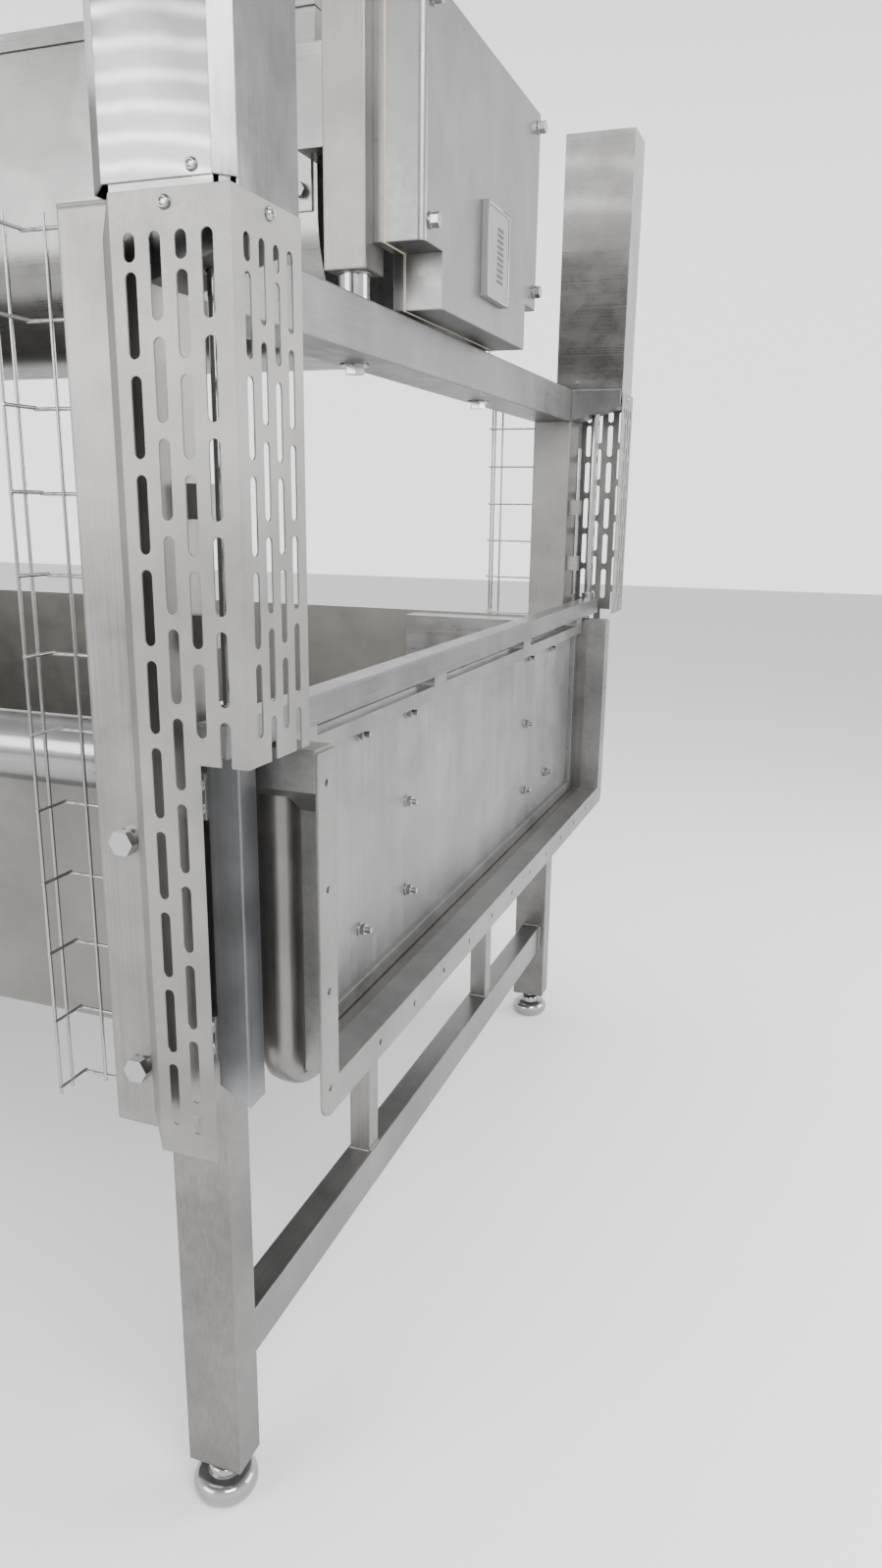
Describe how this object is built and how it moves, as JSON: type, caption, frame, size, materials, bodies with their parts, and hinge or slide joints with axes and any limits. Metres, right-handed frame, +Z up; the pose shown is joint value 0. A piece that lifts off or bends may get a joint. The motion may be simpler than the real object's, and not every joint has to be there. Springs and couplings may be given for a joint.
{
  "type": "trough station with lifting end gate",
  "caption": "Long stainless trough on levelled legs, with a cylinder-lifted end gate between slotted guards and a closed round-bottomed vessel on posts above.",
  "frame": {"origin": "on the floor under the centre of the whole object's box", "axes": "+X out of the discharge end, +Y to the left as seen looking out of the discharge end, +Z up"},
  "size_m": [2.546, 2.122, 2.418],
  "materials": {
    "brushed_steel": "satin brushed stainless steel",
    "polished_steel": "polished stainless steel",
    "mirror_steel": "fine ground, nearly mirror stainless sheet",
    "matt_steel": "matt blasted stainless sheet",
    "bright_wire": "bright electropolished wire",
    "cylinder_aluminium": "anodised barrel",
    "plate_plastic": "satin plate"
  },
  "bodies": {
    "frame": {"beam_discharge": "brushed_steel", "beam_infeed": "brushed_steel", "cable_tray_left": "bright_wire", "cable_tray_right": "bright_wire", "case_cover": "brushed_steel", "case_tray": "brushed_steel", "column_caps": "brushed_steel", "column_discharge_left": "brushed_steel", "column_discharge_right": "brushed_steel", "column_infeed_left": "brushed_steel", "column_infeed_right": "brushed_steel", "corner_clamps": "brushed_steel", "cylinder_cover_left": "mirror_steel", "cylinder_cover_right": "mirror_steel", "discharge_collar": "brushed_steel", "frame_bolts": "polished_steel", "gate_housing": "brushed_steel", "guard_front_left": "matt_steel", "guard_front_right": "matt_steel", "guard_side_left": "matt_steel", "guard_side_right": "matt_steel", "guide_channels": "brushed_steel", "guide_rods": "polished_steel", "leg_discharge_left": "brushed_steel", "leg_discharge_right": "brushed_steel", "leg_infeed_left": "brushed_steel", "leg_infeed_right": "brushed_steel", "lift_bracket_left": "brushed_steel", "lift_bracket_right": "brushed_steel", "lift_cylinder_left": "cylinder_aluminium", "lift_cylinder_right": "cylinder_aluminium", "nameplate": "plate_plastic", "overflow_box": "brushed_steel", "post_spacers": "polished_steel", "rim_boxes": "brushed_steel", "stretchers": "brushed_steel", "trough_end": "brushed_steel", "trough_floor": "brushed_steel", "trough_pads": "brushed_steel", "trough_rim_left": "brushed_steel", "trough_rim_right": "brushed_steel", "trough_side_left": "brushed_steel", "trough_side_right": "brushed_steel", "trough_struts": "brushed_steel", "vessel_lid": "brushed_steel", "vessel_plates": "brushed_steel", "vessel_posts": "brushed_steel", "vessel_shell": "brushed_steel"},
    "gate": {"gate_panel": "brushed_steel", "gate_edge_frame": "brushed_steel", "gate_top_rail": "brushed_steel", "gate_spacers": "brushed_steel", "gate_studs": "polished_steel", "lift_bar": "brushed_steel", "piston_rod_right": "polished_steel", "piston_rod_left": "polished_steel"},
    "foot_discharge_left": {"foot_discharge_left": "polished_steel"},
    "foot_discharge_right": {"foot_discharge_right": "polished_steel"},
    "foot_infeed_left": {"foot_infeed_left": "polished_steel"},
    "foot_infeed_right": {"foot_infeed_right": "polished_steel"}
  },
  "joints": [
    {"name": "gate_lift", "type": "slide", "parent": "frame", "child": "gate", "axis": [0, 0, 1], "range_m": [0, 0.44]},
    {"name": "discharge_left_foot_turn", "type": "hinge", "parent": "frame", "child": "foot_discharge_left", "pos_m": [1.0885, 0.886, 0], "axis": [0, 0, 1], "continuous": true},
    {"name": "discharge_right_foot_turn", "type": "hinge", "parent": "frame", "child": "foot_discharge_right", "pos_m": [1.0885, -0.886, 0], "axis": [0, 0, 1], "continuous": true},
    {"name": "infeed_left_foot_turn", "type": "hinge", "parent": "frame", "child": "foot_infeed_left", "pos_m": [-1.2235, 0.886, 0], "axis": [0, 0, 1], "continuous": true},
    {"name": "infeed_right_foot_turn", "type": "hinge", "parent": "frame", "child": "foot_infeed_right", "pos_m": [-1.2235, -0.886, 0], "axis": [0, 0, 1], "continuous": true}
  ]
}
